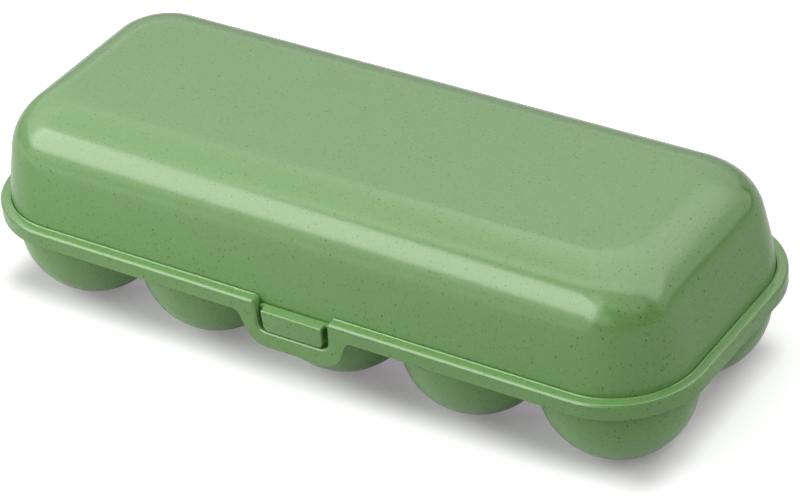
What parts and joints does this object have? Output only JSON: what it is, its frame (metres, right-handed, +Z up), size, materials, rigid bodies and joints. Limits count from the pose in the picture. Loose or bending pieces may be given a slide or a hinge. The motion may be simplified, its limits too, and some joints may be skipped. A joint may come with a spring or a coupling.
{
  "type": "egg box",
  "caption": "Hinged plastic egg box with round cups under a stiff rim, a domed lid that nests inside the rim and a push latch at the front.",
  "frame": {"origin": "bottom centre of the box's overall size, on the surface that the cup feet stand on; the hinges at the back put it 3.6 mm behind the middle of the tray", "axes": "+X along the box's length, to the right as seen from the latch; +Y from the latch to the hinges; +Z up"},
  "size_m": [0.268, 0.1172, 0.0754],
  "materials": {
    "tray_plastic": "speckled satin green plastic",
    "lid_plastic": "speckled satin green plastic",
    "latch_plastic": "speckled satin green plastic"
  },
  "bodies": {
    "tray": {"egg_tray": "tray_plastic"},
    "lid": {"lid": "lid_plastic"},
    "latch": {"latch_tab": "latch_plastic"}
  },
  "joints": [
    {"name": "lid_hinge", "type": "hinge", "parent": "tray", "child": "lid", "pos_m": [0, 0.0553, 0.0377], "axis": [-1, 0, 0], "range_deg": [0, 180]},
    {"name": "latch_press", "type": "hinge", "parent": "lid", "child": "latch", "pos_m": [0, -0.0548, 0.03455], "axis": [1, 0, 0], "range_deg": [0, 6], "stiffness_Nm_per_rad": 0.4}
  ]
}
